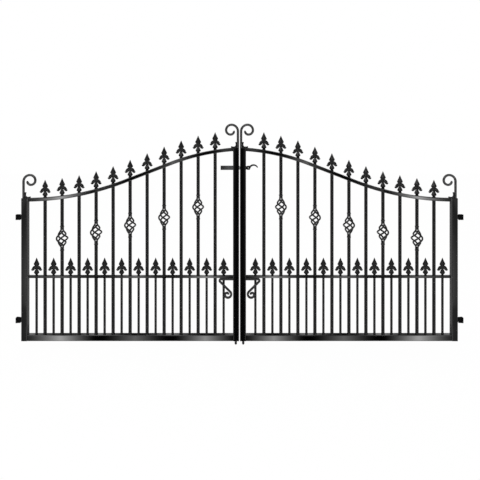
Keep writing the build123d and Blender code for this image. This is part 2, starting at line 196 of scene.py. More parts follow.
def skin(name, grids, material, sharp=34):
    """Mesh of grids of points: quads wrap along the second index; along the first they wrap when
    closed, or else both ends get a flat cap."""
    points, corners, counts, base = [], [], [], 0
    for grid, closed in grids:
        grid = turned_out(grid, closed)
        n, m = grid.shape[:2]
        index = base + np.arange(n * m).reshape(n, m)
        rows = np.vstack([index, index[:1]]) if closed else index
        a, b = rows[:-1], rows[1:]
        quads = np.stack([a, np.roll(a, -1, 1), np.roll(b, -1, 1), b], -1).reshape(-1, 4)
        corners.append(quads.ravel())
        counts.append(np.full(len(quads), 4))
        if not closed:
            corners += [index[0, ::-1], index[-1]]
            counts.append(np.array([m, m]))
        points.append(grid.reshape(-1, 3))
        base += n * m
    points, corners, counts = map(np.concatenate, (points, corners, counts))
    mesh = bpy.data.meshes.new(name)
    mesh.vertices.add(len(points))
    mesh.vertices.foreach_set("co", points.astype(np.float32).ravel())
    mesh.loops.add(len(corners))
    mesh.loops.foreach_set("vertex_index", corners.astype(np.int32))
    mesh.polygons.add(len(counts))
    mesh.polygons.foreach_set("loop_start", (np.cumsum(counts) - counts).astype(np.int32))
    mesh.update(calc_edges=True)
    mesh.polygons.foreach_set("use_smooth", np.ones(len(counts), dtype=bool))
    mesh.set_sharp_from_angle(angle=math.radians(sharp))
    mesh.materials.append(material)
    piece = bpy.data.objects.new(name, mesh)
    bpy.context.scene.collection.objects.link(piece)
    return piece


def mirrored(grids):
    """The same grids on the other leaf: x becomes twice the gate's centre less x."""
    flip, shift = np.array([-1, 1, 1]), np.array([2 * GATE_CENTRE, 0, 0])
    return [(grid * flip + shift, closed) for grid, closed in grids]


def dressed(name, grids, material, body, node=None):
    """One piece from its grids, riding on its body, in place of its solid where it has one."""
    piece = skin(name, grids, material)
    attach(piece, body)
    if node:
        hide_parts(node)


def on_both_leaves(name, grids, material, node=None, bodies=("left_leaf", "right_leaf")):
    """A piece of the left leaf and its mirror image, each in place of its own solid."""
    for side, body, shape in zip(("left", "right"), bodies, (grids, mirrored(grids))):
        dressed(f"{side}_{name}", shape, material, body, node and f"{side}_{node}")


def upright(profiles, levels, x, y=0.0):
    """Grid of outlines stacked up: point (i, j) is outline i's point j at level i."""
    return np.stack([np.column_stack([p[:, 0] + x, p[:, 1] + y, np.full(len(p), z)])
                     for p, z in zip(profiles, levels)])


def stile(x, top):
    """Tube wall from under the cap, down inside, round the foot, up outside and over the cap."""
    outer = rounded(TUBE, TUBE, TUBE_CORNER)
    inner = rounded(TUBE - 2 * TUBE_WALL, TUBE - 2 * TUBE_WALL, TUBE_CORNER - TUBE_WALL)
    soft = rounded(TUBE - EDGE_DRAW, TUBE - EDGE_DRAW, TUBE_CORNER)
    cap = rounded(TUBE - CAP_DRAW, TUBE - CAP_DRAW, TUBE_CORNER)
    profiles = [inner, inner, soft, outer, outer, soft, cap]
    levels = [top - CAP_THICK, GATE_FOOT, GATE_FOOT, GATE_FOOT + EDGE_RISE,
              top - CAP_ROUND, top - EDGE_RISE, top]
    return [(upright(profiles, levels, x), False)]


tube_coat = coat("tube_coat", (0.0013, 0.0013, 0.0014), 0.022, 0.0016, sheen=0.63)
on_both_leaves("hinge_stile_tube", stile(HINGE_STILE_X, HINGE_TOP), tube_coat,
               "hinge_stile")
on_both_leaves("meeting_stile_tube", stile(MEETING_STILE_X, MEETING_TOP), tube_coat,
               "meeting_stile")

# Bottom rail: the same square tube, cut to fit between the stiles and welded all round, with the
# welds ground flush on the outside faces.
HINGE_INNER, MEETING_INNER = hinge_high[0], meeting_low[0]


def lengthwise(profile, x0, x1, y, z):
    """An outline carried straight along the gate from x0 to x1."""
    return np.stack([np.column_stack([np.full(len(profile), x), profile[:, 0] + y, profile[:, 1] + z])
                     for x in (x0, x1)])


bottom_rail = lengthwise(rounded(TUBE, TUBE, TUBE_CORNER), HINGE_INNER, MEETING_INNER, 0.0,
                         GATE_FOOT + TUBE / 2)
on_both_leaves("bottom_rail_tube", [(bottom_rail, False)], tube_coat, "bottom_rail")

# Middle rail: flat steel bar laid on its side and punched for every bar, then welded between the
# stiles. Its rolled edges are barely rounded.
MIDDLE_CORNER = 0.0012
middle_low, middle_high = node_corners("left_middle_rail")
MIDDLE_UNDER, MIDDLE_THICK = middle_low[2], middle_high[2] - middle_low[2]
MIDDLE_DEPTH = middle_high[1] - middle_low[1]

middle_rail = lengthwise(rounded(MIDDLE_DEPTH, MIDDLE_THICK, MIDDLE_CORNER), HINGE_INNER, MEETING_INNER,
                         0.0, MIDDLE_UNDER + MIDDLE_THICK / 2)
on_both_leaves("middle_rail_flat", [(middle_rail, False)], tube_coat, "middle_rail")

# Top rail: rectangular steel tube rolled to a double curve, level at the hinge stile, steepest in
# the middle and nearly level again at the meeting stile. It is punched for the full bars.
RAIL_THICK, RAIL_DEPTH, RAIL_CORNER = 0.022, 0.030, 0.004
RAIL_STEP, FIRST_STEP = 0.0015, 0.002
OUTER_SHARE, STRAIGHT_SHARE, END_SLOPE = 0.48, 0.22, math.radians(4.25)
RAIL_START_Z = HINGE_TOP - RAIL_THICK / 2


def double_curve():
    """Moves of the rail's middle line: a hollow arc, a straight and a crowned arc, at the steepest
    slope for which the three together climb from one stile to the other."""
    run = MEETING_INNER - HINGE_STILE_X
    rise = MEETING_TOP - HINGE_TOP - RAIL_THICK / 2 * (1 / math.cos(END_SLOPE) - 1)
    outer, straight = OUTER_SHARE * run, STRAIGHT_SHARE * run
    inner = run - outer - straight
    slopes = np.linspace(END_SLOPE, 1.0, 20001)
    climb = (outer * np.tan(slopes / 2) + straight * np.tan(slopes)
             + inner * np.tan((slopes + END_SLOPE) / 2))
    a = float(np.interp(rise, climb, slopes))
    return [(outer / math.sin(a), a), (straight / math.cos(a), 0.0),
            (inner / (math.sin(a) - math.sin(END_SLOPE)), END_SLOPE - a)]


def walk(x, z, angle, moves, step=0.004, fine=math.radians(5)):
    """Points and headings along straights (length, 0) and bends (radius, turn) in the gate's
    plane; a bend's points lie on its circle, left turns positive."""
    xs, zs, angles = [], [], []
    for size, turn in moves:
        if turn == 0:
            t = np.linspace(0, 1, max(2, int(size / step / 8)))
            px = x + size * t * math.cos(angle)
            pz = z + size * t * math.sin(angle)
            pa = np.full(len(t), angle)
        else:
            side = math.copysign(1.0, turn)
            count = max(3, int(abs(turn) / fine), int(abs(turn) * size / step / 6))
            pa = angle + turn * np.linspace(0, 1, count)
            px = x - side * size * math.sin(angle) + side * size * np.sin(pa)
            pz = z + side * size * math.cos(angle) - side * size * np.cos(pa)
        keep = slice(1, None) if xs else slice(None)
        xs.append(px[keep])
        zs.append(pz[keep])
        angles.append(pa[keep])
        x, z, angle = px[-1], pz[-1], pa[-1]
    return np.concatenate(xs), np.concatenate(zs), np.concatenate(angles)


def carried(x, z, angle, profile, y=0.0, scale=None):
    """An outline carried along a walk: point (i, j) lies profile[j, 0] to the left of step i and
    profile[j, 1] behind the gate's plane."""
    scale = np.ones((len(x), 2)) if scale is None else scale
    across, deep = profile[:, 0] * scale[:, :1], profile[:, 1] * scale[:, 1:]
    return np.stack([x[:, None] - np.sin(angle)[:, None] * across, y + deep,
                     z[:, None] + np.cos(angle)[:, None] * across], -1)


rail_x, rail_z, rail_angle = walk(HINGE_STILE_X, RAIL_START_Z, 0.0, double_curve(), step=RAIL_STEP)
stations = np.concatenate([[HINGE_INNER], rail_x[rail_x > HINGE_INNER + FIRST_STEP]])
top_rail = carried(stations, np.interp(stations, rail_x, rail_z),
                   np.interp(stations, rail_x, rail_angle),
                   rounded(RAIL_THICK, RAIL_DEPTH, RAIL_CORNER))
top_rail[0, :, 0], top_rail[-1, :, 0] = HINGE_INNER, MEETING_INNER
on_both_leaves("top_rail_tube", [(top_rail, False)], tube_coat, "top_rail")

# Full bars: solid round drawn steel bar welded on the bottom rail, running through the middle and
# top rails. Every second one is cut in two where a basket is let in.
BAR_RADIUS, BAR_STUB, BAR_COUNT, BAR_EASE = 0.0105, 0.0045, 11, 0.0008
BASKET_HEIGHT, BASKET_SHARES = 0.158, np.array([0.709, 0.7177, 0.7117, 0.7015, 0.716])
RAIL_TOP = GATE_FOOT + TUBE
FIRST_GAP_LESS, LAST_GAP_EXTRA = 0.0015, 0.0058
BAR_PITCH = (MEETING_INNER - HINGE_INNER + FIRST_GAP_LESS - LAST_GAP_EXTRA) / (BAR_COUNT + 1)
bar_x = HINGE_INNER - FIRST_GAP_LESS + BAR_PITCH * np.arange(1, BAR_COUNT + 1)
rail_slope = np.interp(bar_x, rail_x, rail_angle)
rail_level = np.interp(bar_x, rail_x, rail_z)
rail_over = rail_level + RAIL_THICK / 2 / np.cos(rail_slope)
rail_under = rail_level - RAIL_THICK / 2 / np.cos(rail_slope)
bar_top = rail_over + BAR_STUB
basket_z = RAIL_TOP + BASKET_SHARES * (rail_under[1::2] - RAIL_TOP)


def ring(radius, steps=24):
    """Circle of points about zero, anticlockwise."""
    t = np.arange(steps) * 2 * np.pi / steps
    return radius * np.column_stack([np.cos(t), np.sin(t)])


def round_bar(x, low, high, radius, steps=24):
    """Straight round bar with its two end edges eased: four circles, the outer two smaller."""
    end, full = ring(radius - BAR_EASE, steps), ring(radius, steps)
    return upright([end, full, full, end], [low, low + BAR_EASE, high - BAR_EASE, high], x), False


bar_coat = coat("bar_coat", (0.0022, 0.0022, 0.0023), 0.16, 0.0014, grain=(1.0, 1.0, 0.06), sheen=0.3)
plain = [round_bar(x, RAIL_TOP, top, BAR_RADIUS) for x, top in zip(bar_x[::2], bar_top[::2])]
cut = [round_bar(x, RAIL_TOP, z - BASKET_HEIGHT / 2, BAR_RADIUS)
       for x, z in zip(bar_x[1::2], basket_z)]
cut += [round_bar(x, z + BASKET_HEIGHT / 2, top, BAR_RADIUS)
        for x, z, top in zip(bar_x[1::2], basket_z, bar_top[1::2])]
on_both_leaves("plain_bar_rods", plain, bar_coat, "plain_bars")
on_both_leaves("basket_bar_rods", cut, bar_coat, "basket_bars")

# Dog bars: thinner round steel bar between the full bars, welded on the bottom rail and ending
# just above the middle rail.
DOG_RADIUS, DOG_STUB = 0.0075, 0.0075
dog_x = HINGE_INNER - FIRST_GAP_LESS + BAR_PITCH * (np.arange(BAR_COUNT + 1) + 0.5)
dog_top = MIDDLE_UNDER + MIDDLE_THICK + DOG_STUB
dogs = [round_bar(x, RAIL_TOP, dog_top, DOG_RADIUS, 20) for x in dog_x]
on_both_leaves("dog_bar_rods", dogs, bar_coat, "dog_bars")

# Baskets: four round steel wires welded between two collars and wrung through a little over a
# full turn while hot, so that they open into a cage. Each is set round on its bar by its own angle.
WIRE_RADIUS, BASKET_WIDTH, COLLAR_RADIUS, COLLAR_HEIGHT = 0.00525, 0.0765, 0.013, 0.008
BASKET_TURN, BASKET_SWELL, BASKET_NECK = math.radians(390), 3.0, 1.3 * WIRE_RADIUS
BASKET_FACES = np.radians([21, 17, 13, 9, 5])
COLLAR_LEVELS = COLLAR_HEIGHT * np.array([-0.5, -0.42, -0.2, 0.0, 0.2, 0.42, 0.5])
COLLAR_RADII = COLLAR_RADIUS * np.array([0.84, 0.93, 0.99, 1.0, 0.99, 0.93, 0.84])


def basket_wire(x, z, turn):
    """A circle carried along a swelling helix: at height t from -1 to 1 the wire's middle lies
    neck + (wide - neck) cos(pi t / 2) ** swell from the axis and has turned by half the whole
    turn times t. The wire is drawn down a little towards both ends."""
    half = BASKET_HEIGHT / 2 - COLLAR_HEIGHT / 2
    wide = BASKET_WIDTH / 2 - WIRE_RADIUS
    t = np.linspace(-1, 1, 61)
    open_share = np.clip(np.cos(np.pi * t / 2), 0, None) ** BASKET_SWELL
    r = BASKET_NECK + (wide - BASKET_NECK) * open_share
    a = turn - BASKET_TURN / 2 * t
    middle = np.column_stack([r * np.sin(a), -r * np.cos(a), half * t])
    along = np.gradient(middle, axis=0)
    along /= np.linalg.norm(along, axis=1, keepdims=True)
    side = np.cross(along, np.column_stack([np.sin(a), -np.cos(a), np.zeros_like(a)]))
    side /= np.linalg.norm(side, axis=1, keepdims=True)
    over = np.cross(along, side)
    circle = WIRE_RADIUS * np.clip(0.8 + open_share, None, 1.0)[:, None, None] * ring(1.0, 12)[None]
    grid = middle[:, None] + side[:, None] * circle[..., :1] + over[:, None] * circle[..., 1:]
    return grid + np.array([x, 0, z]), False


def turned(x, y, levels, radii, steps=28):
    """A turned piece: circles of the given radii stacked at the given levels."""
    return upright([ring(r, steps) for r in radii], levels, x, y), False


def collar(x, z):
    """A short turned collar with a crowned edge, about its middle."""
    return turned(x, 0.0, z + COLLAR_LEVELS, COLLAR_RADII)


wire_coat = coat("wire_coat", (0.0040, 0.0040, 0.0042), 0.22, 0.0013, sheen=0.5)
baskets = []
for x, z, face in zip(bar_x[1::2], basket_z, BASKET_FACES):
    baskets += [basket_wire(x, z, face + turn) for turn in np.pi / 2 * np.arange(4)]
    baskets += [collar(x, z + end * (BASKET_HEIGHT - COLLAR_HEIGHT) / 2) for end in (-1, 1)]
on_both_leaves("basket_cages", baskets, wire_coat, "baskets")

# Finials: cast iron spear heads with a ridge front and back, two drooping arms and a bulb at the
# foot, welded on the bar ends. The castings keep a fine sand grain under the coat.
FINIAL_HEIGHT, FINIAL_DEPTH_SHARE, MM = 0.1055, 0.7, 0.001


def through(knots, count):
    """Smooth line through knots: the cubic that leaves each knot along its neighbours' chord."""
    knots = np.asarray(knots, float)
    t = np.linspace(0, len(knots) - 1, count)
    i = np.minimum(t.astype(int), len(knots) - 2)
    f = (t - i)[:, None]
    slope = np.gradient(knots, axis=0)
    ends = (2 * f**3 - 3 * f**2 + 1) * knots[i] + (3 * f**2 - 2 * f**3) * knots[i + 1]
    return ends + (f**3 - 2 * f**2 + f) * slope[i] + (f**3 - f**2) * slope[i + 1]


def spear():
    """Body of a finial on its foot: at each level |u/w|^p + |v/d|^p = 1, an oval bulb (p 1.9) that
    turns into a soft diamond (p 1.18) above the neck. A knot gives a share of the height and the
    half width w there in millimetres."""
    knots = [(0.0, 7.8), (0.02, 9.0), (0.05, 12.2), (0.08, 15.4), (0.108, 16.6), (0.14, 15.7),
             (0.20, 13.0), (0.26, 10.1), (0.32, 7.2), (0.364, 6.0), (0.43, 7.2), (0.50, 10.4),
             (0.545, 14.0), (0.585, 17.2), (0.622, 18.5), (0.66, 17.1), (0.72, 13.9), (0.80, 9.9),
             (0.88, 6.2), (0.95, 3.0), (1.0, 0.9)]
    line = through(knots, 72)
    width = line[:, 1:] * MM
    a = np.arange(32) * 2 * np.pi / 32
    power = np.interp(line[:, :1], [0.30, 0.46], [1.9, 1.18])
    reach = np.abs(np.cos(a)) ** power + np.abs(np.sin(a) / FINIAL_DEPTH_SHARE) ** power
    reach = reach ** (-1 / power)
    return np.stack([width * reach * np.cos(a), width * reach * np.sin(a),
                     np.broadcast_to(line[:, :1] * FINIAL_HEIGHT, (len(line), 32))], -1)


def arm(side):
    """One arm: an oval carried along a drooping line that flicks out at its tip. A knot gives the
    place out and up, and the oval's width and depth there, in millimetres."""
    knots = [(2.0, 46.6, 17.0, 10.6), (8.5, 46.2, 20.0, 11.0), (15.2, 42.0, 21.5, 11.0),
             (20.6, 35.4, 20.0, 10.6), (25.4, 30.0, 16.5, 10.0), (30.2, 29.6, 10.4, 8.0),
             (34.4, 32.2, 1.4, 2.6)]
    line = through(knots, 40) * MM
    angle = np.arctan2(np.gradient(line[:, 1]), np.gradient(line[:, 0]))
    grid = carried(line[:, 0], line[:, 1], angle, ring(0.5, 16), scale=line[:, 2:])
    return grid * np.array([side, 1, 1])


def finial(x, z):
    """A whole finial on a bar end: its body and its two arms."""
    return [(shape + np.array([x, 0, z]), False) for shape in (spear(), arm(1), arm(-1))]


cast_coat = coat("cast_coat", (0.0040, 0.0040, 0.0042), 0.24, 0.0011, pits=0.45, sheen=0.3, relief=0.12)
bar_finials = [grid for x, z in zip(bar_x, bar_top) for grid in finial(x, z)]
dog_finials = [grid for x in dog_x for grid in finial(x, dog_top)]
on_both_leaves("bar_finial_spears", bar_finials, cast_coat, "bar_finials")
on_both_leaves("dog_finial_spears", dog_finials, cast_coat, "dog_finials")

# Scrolls: a round steel bar welded upright on each stile top, flush with its outer edge, and
# rolled cold into a curl over the leaf. The free end is forged to a blunt taper.
SCROLL_BAR, SCROLL_UPRIGHT = 0.015, 0.1042
SCROLL_BENDS = [(0.0405, 90), (0.034, 90), (0.028, 90), (0.022, 100)]


def blunt(count, last=7):
    """Scale of a bar's section along its length: full, then rounding off over the last steps."""
    left = np.arange(count)[::-1]
    size = np.where(left < last, np.sqrt(np.clip(1 - (1 - left / last) ** 2, 0.02, 1)), 1.0)
    return np.column_stack([size, np.clip(size * 1.15, None, 1)])


def scroll(x, z, side):
    """A circle carried up a straight and round bends that tighten towards the given side."""
    moves = [(SCROLL_UPRIGHT, 0.0)] + [(r, -side * math.radians(t)) for r, t in SCROLL_BENDS]
    px, pz, pa = walk(x, z, math.pi / 2, moves)
    return [(carried(px, pz, pa, ring(SCROLL_BAR / 2), scale=blunt(len(px))), False)]


scroll_coat = coat("scroll_coat", (0.0046, 0.0046, 0.0048), 0.2, 0.0014, sheen=0.85)
hinge_scroll = scroll(hinge_low[0] + SCROLL_BAR / 2, HINGE_TOP, 1)
meeting_scroll = scroll(meeting_high[0] - SCROLL_BAR / 2, MEETING_TOP, -1)
on_both_leaves("hinge_scroll_bar", hinge_scroll, scroll_coat, "hinge_scroll")
on_both_leaves("meeting_scroll_bar", meeting_scroll, scroll_coat, "meeting_scroll")

# Corner brackets: small iron castings with a hollowed edge and two pointed lips, let into the
# corner between each scroll and the rail below it.
CORNER_LEG, CORNER_THICK, CORNER_EDGE = 0.036, 0.011, 0.0016
CORNER_TIP, CORNER_LIP, CORNER_HOLLOW = 0.95 * CORNER_LEG, 0.27 * CORNER_LEG, 0.28 * CORNER_LEG
LIP_FACE, LIP_PROUD = 0.6 * CORNER_LIP, 0.0004


def slab(outline, y0, y1, edge):
    """A flat piece between y0 and y1: the outline stacked through, drawn in at both faces so that
    the edge is a quarter round."""
    ahead = np.roll(outline, -1, 0) - np.roll(outline, 1, 0)
    inward = np.column_stack([-ahead[:, 1], ahead[:, 0]]) / np.linalg.norm(ahead, axis=1, keepdims=True)
    x, z = outline.T
    inward *= math.copysign(1.0, (x * np.roll(z, -1) - np.roll(x, -1) * z).sum())
    t = np.linspace(0, np.pi / 2, 4)
    draw = edge * np.concatenate([[1.15], 1 - np.sin(t), 1 - np.sin(t[::-1]), [1.15]])
    fall = edge * (1 - np.cos(t))
    deep = np.concatenate([[y0], y0 + fall, y1 - fall[::-1], [y1]])
    flat = outline[None] + draw[:, None, None] * inward[None]
    through_y = np.broadcast_to(deep[:, None], flat.shape[:2])
    return np.stack([flat[..., 0], through_y, flat[..., 1]], -1), False


def corner(x, z, side, fall):
    """Outline of a bracket: two legs, two lips and a hollow arc between them. Its foot drops by
    the given slope where it sits on the rail."""
    t = np.linspace(0, 1, 15)[:, None]
    middle = np.array([CORNER_HOLLOW, CORNER_HOLLOW])
    a, b = np.array([CORNER_TIP, CORNER_LIP]), np.array([CORNER_LIP, CORNER_TIP])
    control = 2 * middle - (a + b) / 2
    arc = (1 - t) ** 2 * a + 2 * t * (1 - t) * control + t**2 * b
    seat, proud = TUBE - SCROLL_BAR, CORNER_LEG + LIP_PROUD
    foot = [(0.0, 0.0), (seat, 0.0), (CORNER_LEG, -(CORNER_LEG - seat) * fall), (proud, LIP_FACE)]
    outline = np.concatenate([foot, arc, [(LIP_FACE, proud), (0.0, CORNER_LEG)]])
    outline = np.column_stack([x + side * outline[:, 0], z + outline[:, 1]])
    return slab(outline, -CORNER_THICK / 2, CORNER_THICK / 2, CORNER_EDGE)


corners = [corner(hinge_low[0] + SCROLL_BAR, HINGE_TOP, 1, 0.0),
           corner(meeting_high[0] - SCROLL_BAR, MEETING_TOP, -1, math.tan(END_SLOPE))]
on_both_leaves("corner_castings", corners, cast_coat, "corner_brackets")

# Rail brackets: flat steel bar welded under the middle rail and to the meeting stile, bent back on
# itself as a brace and rolled into a curl beside the stile, in front of the last dog bar.
BRACKET_BAR, BRACKET_DEPTH, BRACKET_CORNER = 0.0135, 0.0105, 0.0022
BRACKET_MOVES = [(0.0755, 0), (0.009, 135), (0.091, 0), (0.0215, -135), (0.018, -90), (0.012, -90),
                 (0.010, -100)]

px, pz, pa = walk(MEETING_INNER, MIDDLE_UNDER - BRACKET_BAR / 2, math.pi,
                  [(size, math.radians(turn)) for size, turn in BRACKET_MOVES])
rail_bracket = carried(px, pz, pa, rounded(BRACKET_BAR, BRACKET_DEPTH, BRACKET_CORNER),
                       y=-TUBE / 2 + BRACKET_DEPTH / 2, scale=blunt(len(px)))
bracket_coat = coat("bracket_coat", (0.0040, 0.0040, 0.0042), 0.16, 0.0014, sheen=0.35)
on_both_leaves("rail_bracket_bar", [(rail_bracket, False)], bracket_coat, "rail_bracket")

# Welds: beads laid by hand round the foot of every bar and round the ends of the middle and top
# rails, left as they were run and coated with the frame.
RAIL_BEAD, BAR_BEAD, BEAD_STEP, RIPPLE = 0.0020, 0.0016, 0.0012, 0.0042
UPWARD, LENGTHWISE = np.array([0.0, 0.0, 1.0]), np.array([1.0, 0.0, 0.0])


def bead(loop, normal, size):
    """A circle carried round a closed loop in the plane of the given normal; its size swells and
    shrinks by a tenth with a sine once every ripple of run."""
    ends = np.concatenate([loop, loop[:1]])
    run = np.concatenate([[0.0], np.cumsum(np.linalg.norm(np.diff(ends, axis=0), axis=1))])
    s = np.linspace(0, run[-1], int(run[-1] / BEAD_STEP), endpoint=False)
    line = np.stack([np.interp(s, run, ends[:, k]) for k in range(3)], 1)
    out = np.cross(np.roll(line, -1, 0) - np.roll(line, 1, 0), normal)
    out /= np.linalg.norm(out, axis=1, keepdims=True)
    ripples = 2 * np.pi * round(run[-1] / RIPPLE) / run[-1]
    thick = size * (1 + 0.1 * np.sin(ripples * s))[:, None, None]
    circle = ring(1.0, 8)[None]
    return line[:, None] + thick * (out[:, None] * circle[..., :1] + normal * circle[..., 1:]), True


welds = []
for places, radius in ((bar_x, BAR_RADIUS), (dog_x, DOG_RADIUS)):
    for x in places:
        foot = ring(radius, 32) + np.array([x, 0.0])
        welds.append(bead(np.column_stack([foot, np.full(len(foot), RAIL_TOP)]), UPWARD, BAR_BEAD))
for rail in (middle_rail, top_rail):
    welds += [bead(end, LENGTHWISE, RAIL_BEAD) for end in (rail[0], rail[-1])]
on_both_leaves("weld_beads", welds, tube_coat)

# Hinges: on the post side a welded steel plate with two ears and a fixed pin; on the gate side a
# turned eye whose tapering neck is welded to the hinge stile. All are coated a duller black.
PLATE_THICK, PLATE_HALF, PLATE_EDGE = 0.0115, 0.0105, 0.0009
FIXING_HEIGHT, FIXING_EAR = 0.034, 0.006
EAR_START, EAR_NOSE, EAR_BEVEL, EAR_HALF, EAR_EDGE = 0.004, 0.0075, 0.004, 0.008, 0.0008
PIN_RADIUS = 0.005
PIN_HEAD_LEVELS, PIN_HEAD_RADII = np.array([-0.0005, 0.0006, 0.0012]), [0.0058, 0.0056, 0.0042]
BARREL_RADIUS, BARREL_END, BARREL_EASE, BARREL_PLAY = 0.009, 0.0082, 0.001, 0.0003
NECK_REACH = np.array([0.002, 0.0085, 0.012, 0.014, 0.016])
NECK_RADII = np.array([0.0086, 0.0077, 0.0071, 0.0078, 0.0096])
fixing_low, fixing_high = node_corners("left_hinge_fixings")
HINGE_AXIS = fixing_high[0] - EAR_NOSE
HINGE_LEVELS = (fixing_low[2] + FIXING_HEIGHT / 2, fixing_high[2] - FIXING_HEIGHT / 2)


def box_outline(x0, x1, z0, z1, corner):
    """Rounded rectangle between the given sides."""
    return rounded(x1 - x0, z1 - z0, corner, 4) + np.array([(x0 + x1) / 2, (z0 + z1) / 2])


def hinge_fixing(z):
    """A plate, two ears over and under the eye, and the pin between them with its riveted heads."""
    half, nose = FIXING_HEIGHT / 2, HINGE_AXIS + EAR_NOSE
    inside = half - FIXING_EAR
    plate = box_outline(0.0, PLATE_THICK, z - half, z + half, PLATE_EDGE)
    ear = np.array([(EAR_START, inside), (nose, inside), (nose, half - EAR_BEVEL), (HINGE_AXIS, half),
                    (EAR_START, half)])
    irons = [slab(plate, -PLATE_HALF, PLATE_HALF, PLATE_EDGE)]
    for side in (-1, 1):
        irons.append(slab(ear * np.array([1, side]) + np.array([0, z]), -EAR_HALF, EAR_HALF, EAR_EDGE))
        irons.append(turned(HINGE_AXIS, 0.0, z + side * (half + PIN_HEAD_LEVELS), PIN_HEAD_RADII))
    return irons + [turned(HINGE_AXIS, 0.0, [z - half, z + half], [PIN_RADIUS, PIN_RADIUS])]


def hinge_eye(z):
    """A barrel that fills the space between the ears, and a neck of circles along the gate."""
    tall = FIXING_HEIGHT / 2 - FIXING_EAR - BARREL_PLAY
    levels = z + np.array([-tall, -tall + BARREL_EASE, tall - BARREL_EASE, tall])
    barrel = turned(HINGE_AXIS, 0.0, levels, [BARREL_END, BARREL_RADIUS, BARREL_RADIUS, BARREL_END], 36)
    circle = NECK_RADII[:, None, None] * ring(1.0, 32)
    out = np.broadcast_to((HINGE_AXIS + NECK_REACH)[:, None], circle.shape[:2])
    return [barrel, (np.stack([out, circle[..., 0], z + circle[..., 1]], -1), False)]


hinge_coat = coat("hinge_coat", (0.0030, 0.0030, 0.0032), 0.34, 0.0012, sheen=0.06)
fixings = [iron for z in HINGE_LEVELS for iron in hinge_fixing(z)]
eyes = [iron for z in HINGE_LEVELS for iron in hinge_eye(z)]
on_both_leaves("hinge_fixing_irons", fixings, hinge_coat, "hinge_fixings",
               ("post_fixings", "post_fixings"))
on_both_leaves("hinge_eye_barrels", eyes, hinge_coat, "hinge_eyes")

# Drop bolts: a round steel rod behind each meeting stile, rounded at the foot, bent back at the top
# as a handle, with a shrunk-on collar that stops on the lower of two bored guides.
BOLT_RADIUS, BOLT_GAP, BOLT_LENGTH, BOLT_BEND, BOLT_HANDLE = 0.0075, 0.005, 0.420, 0.020, 0.064
STOP_PLAY, STOP_LEVELS = 0.0003, np.array([0, 0.0012, 0.0108, 0.012])
STOP_RADII = [0.0098, 0.011, 0.011, 0.0098]
GUIDE_HEIGHT, GUIDE_BORE, GUIDE_CORNER, GUIDE_EASE = 0.016, 0.008, 0.002, 0.001
ROD_TIP = 0.06
guide_low, guide_high = node_corners("left_bolt_guides")
GUIDE_WIDTH, GUIDE_DEPTH = (guide_high - guide_low)[:2]
GUIDE_LEVELS = (guide_low[2], guide_high[2] - GUIDE_HEIGHT)
BOLT_X, BOLT_Y = (guide_low[0] + guide_high[0]) / 2, TUBE / 2 + BOLT_GAP + BOLT_RADIUS
BOLT_FOOT = node_corners("left_drop_bolt")[0][2]


def bolt_rod():
    """Circles carried up from a half-round foot, back round a quarter bend and out to a half-round
    end: at each step the rod's middle, its tilt from upright and its thickness."""
    foot, bend = np.linspace(0, np.pi / 2, 8), np.linspace(0, np.pi / 2, 9)
    rise = BOLT_FOOT + BOLT_LENGTH - BOLT_BEND
    path_y = BOLT_Y + np.concatenate([np.zeros(8), BOLT_BEND * (1 - np.cos(bend)),
                                      BOLT_HANDLE - BOLT_RADIUS * (1 - np.sin(bend))])
    path_z = np.concatenate([BOLT_FOOT + BOLT_RADIUS * (1 - np.cos(foot)), rise + BOLT_BEND * np.sin(bend),
                             np.full(9, rise + BOLT_BEND)])
    tilt = np.concatenate([np.zeros(8), bend, np.full(9, np.pi / 2)])[:, None]
    thick = BOLT_RADIUS * np.concatenate([np.clip(np.sin(foot), ROD_TIP, 1), np.ones(9),
                                          np.clip(np.cos(bend), ROD_TIP, 1)])
    circle = thick[:, None, None] * ring(1.0, 22)
    return np.stack([BOLT_X + circle[..., 0], path_y[:, None] + circle[..., 1] * np.cos(tilt),
                     path_z[:, None] - circle[..., 1] * np.sin(tilt)], -1), False


def bored_block(x, z):
    """A guide: rounded block with a round hole, its wall walked in a loop from the hole out."""
    middle_y = TUBE / 2 + GUIDE_DEPTH / 2
    outer = rounded(GUIDE_WIDTH, GUIDE_DEPTH, GUIDE_CORNER, 8)
    bore = np.array([0.0, BOLT_Y - middle_y])
    a = np.arctan2(outer[:, 1] - bore[1], outer[:, 0])
    hole = GUIDE_BORE * np.column_stack([np.cos(a), np.sin(a)]) + bore
    small = outer * (1 - 2 * GUIDE_EASE / GUIDE_DEPTH)
    profiles = [hole, hole, small, outer, outer, small]
    top = z + GUIDE_HEIGHT
    return upright(profiles, [top, z, z, z + GUIDE_EASE, top - GUIDE_EASE, top], x, middle_y), True


hardware_coat = coat("hardware_coat", (0.0040, 0.0040, 0.0042), 0.16, 0.0012, sheen=0.35)
stop = turned(BOLT_X, BOLT_Y, GUIDE_LEVELS[0] + GUIDE_HEIGHT + STOP_PLAY + STOP_LEVELS, STOP_RADII, 32)
on_both_leaves("drop_bolt_rod", [bolt_rod(), stop], hardware_coat, "drop_bolt",
               ("left_bolt", "right_bolt"))
on_both_leaves("bolt_guide_blocks", [bored_block(BOLT_X, z) for z in GUIDE_LEVELS], hardware_coat,
               "bolt_guides")
